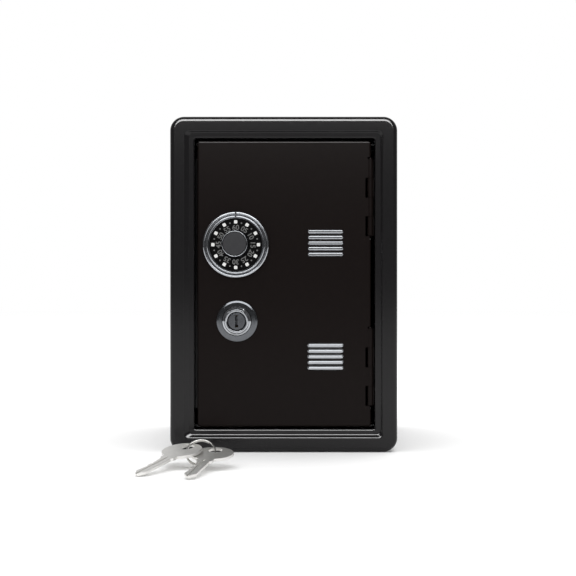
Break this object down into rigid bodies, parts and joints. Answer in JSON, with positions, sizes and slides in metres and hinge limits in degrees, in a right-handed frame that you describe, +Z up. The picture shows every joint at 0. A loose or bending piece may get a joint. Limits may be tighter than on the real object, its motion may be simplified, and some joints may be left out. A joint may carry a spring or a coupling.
{
  "type": "toy safe coin bank",
  "caption": "Small steel coin bank shaped like a safe, with a hinged front door, a turning dial, a keyed cam lock, a coin slot in the top and keys on a split ring.",
  "frame": {"origin": "on the ground, under the centre of the cabinet's base", "axes": "+Z up, +X to the right as seen from the front, -Y to the front, where the door is; the door is shut and the lock is open"},
  "size_m": [0.13, 0.1717, 0.18],
  "materials": {
    "black_enamel": "gloss black stoved enamel on sheet steel",
    "chrome": "bright chrome plating",
    "black_plastic": "satin moulded black",
    "cap_grey": "matte dark grey",
    "zinc_steel": "bright zinc plated",
    "brass": "as stamped",
    "key_nickel": "satin nickel plated"
  },
  "bodies": {
    "cabinet": {"body_shell": "black_enamel", "back_panel": "black_enamel", "front_frame": "black_enamel", "latch_strip": "black_enamel", "hinge_upper_leaf": "black_enamel", "hinge_upper_pin": "black_enamel", "hinge_lower_leaf": "black_enamel", "hinge_lower_pin": "black_enamel"},
    "door": {"door_panel": "black_enamel", "vent_insert_upper": "chrome", "vent_insert_lower": "chrome", "dial_bezel": "chrome", "dial_push_nut": "zinc_steel", "lock_escutcheon": "chrome", "lock_housing": "chrome", "lock_nut": "zinc_steel"},
    "dial": {"dial_disc": "black_plastic", "dial_knob": "chrome", "dial_knob_cap": "cap_grey", "dial_washer": "zinc_steel", "dial_screw": "zinc_steel"},
    "lock_cylinder": {"lock_plug": "chrome", "lock_wafer_1": "brass", "lock_wafer_2": "brass", "lock_wafer_3": "brass", "lock_wafer_4": "brass", "lock_cam": "zinc_steel", "cam_washer": "zinc_steel", "cam_screw": "zinc_steel"},
    "key_ring": {"key_ring": "zinc_steel"},
    "key_1": {"key_1": "key_nickel"},
    "key_2": {"key_2": "key_nickel"}
  },
  "joints": [
    {"name": "door_hinge", "type": "hinge", "parent": "cabinet", "child": "door", "pos_m": [0.0466, -0.0461, 0.0908], "axis": [0, 0, 1], "range_deg": [0, 110]},
    {"name": "dial_turn", "type": "hinge", "parent": "door", "child": "dial", "pos_m": [-0.0257, -0.047, 0.1112], "axis": [0, 1, 0], "continuous": true},
    {"name": "lock_turn", "type": "hinge", "parent": "door", "child": "lock_cylinder", "pos_m": [-0.0251, -0.047, 0.0702], "axis": [0, 1, 0], "range_deg": [0, 90]},
    {"name": "keys_lift", "type": "slide", "parent": "cabinet", "child": "key_ring", "axis": [0, 0, 1], "range_m": [0, 0.045]},
    {"name": "key_1_tilt", "type": "hinge", "parent": "key_ring", "child": "key_1", "pos_m": [-0.04762, -0.08456, 0.00841], "axis": [-0.8191, 0.5736, 0], "range_deg": [0, 8]},
    {"name": "key_2_turn", "type": "hinge", "parent": "key_ring", "child": "key_2", "pos_m": [-0.0337, -0.08649, 0.00702], "axis": [0, 0, -1], "range_deg": [0, 20]}
  ]
}
